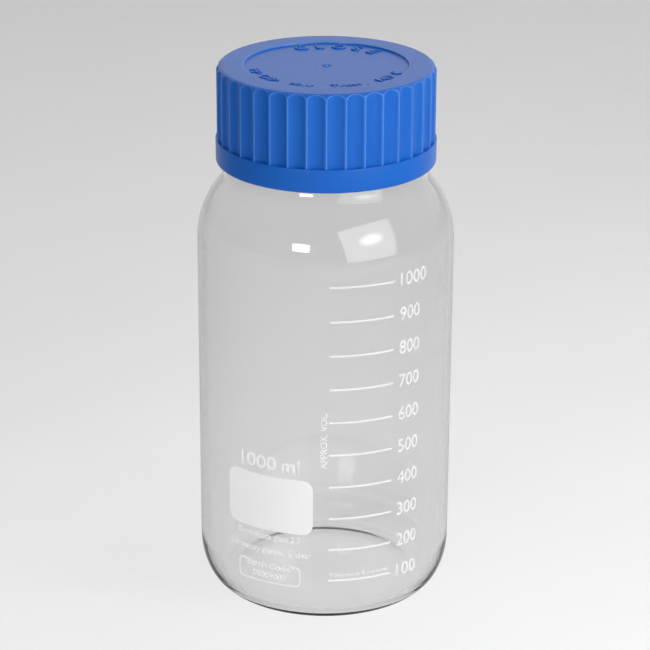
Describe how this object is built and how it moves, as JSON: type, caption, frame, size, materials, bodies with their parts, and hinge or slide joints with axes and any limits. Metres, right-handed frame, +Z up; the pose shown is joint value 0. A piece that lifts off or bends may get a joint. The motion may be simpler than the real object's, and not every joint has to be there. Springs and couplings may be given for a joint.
{
  "type": "wide-neck laboratory bottle with screw cap",
  "caption": "Wide-neck laboratory glass bottle with a printed volume scale, a pouring ring, and a fluted quick-release screw cap that unscrews and lifts off.",
  "frame": {"origin": "centre of the bottom of the bottle, on the surface it stands on", "axes": "+Z up along the bottle's axis, -Y towards the printed scale, +X to the right of someone who reads it"},
  "size_m": [0.101, 0.1012, 0.2164],
  "materials": {
    "borosilicate_glass": "gloss",
    "white_enamel": "satin",
    "blue_polypropylene": "satin",
    "ring_polypropylene": "satin",
    "white_silicone": "matte"
  },
  "bodies": {
    "glassware": {"bottle": "borosilicate_glass", "writing_field": "white_enamel", "graduation_100": "white_enamel", "graduation_200": "white_enamel", "graduation_300": "white_enamel", "graduation_400": "white_enamel", "graduation_500": "white_enamel", "graduation_600": "white_enamel", "graduation_700": "white_enamel", "graduation_800": "white_enamel", "graduation_900": "white_enamel", "graduation_1000": "white_enamel", "pouring_ring": "ring_polypropylene"},
    "seal": {"cap_seal": "white_silicone"},
    "cap": {"screw_cap": "blue_polypropylene"}
  },
  "joints": [
    {"name": "cap_lift", "type": "slide", "parent": "glassware", "child": "seal", "axis": [0, 0, 1], "range_m": [0, 0.0372]},
    {"name": "cap_turn", "type": "hinge", "parent": "seal", "child": "cap", "pos_m": [0, 0, 0.2], "axis": [0, 0, 1], "range_deg": [0, 1110]}
  ],
  "couplings": [
    {"joint": "cap_lift", "follows": "cap_turn", "m_per_rad": 0.0019099}
  ]
}
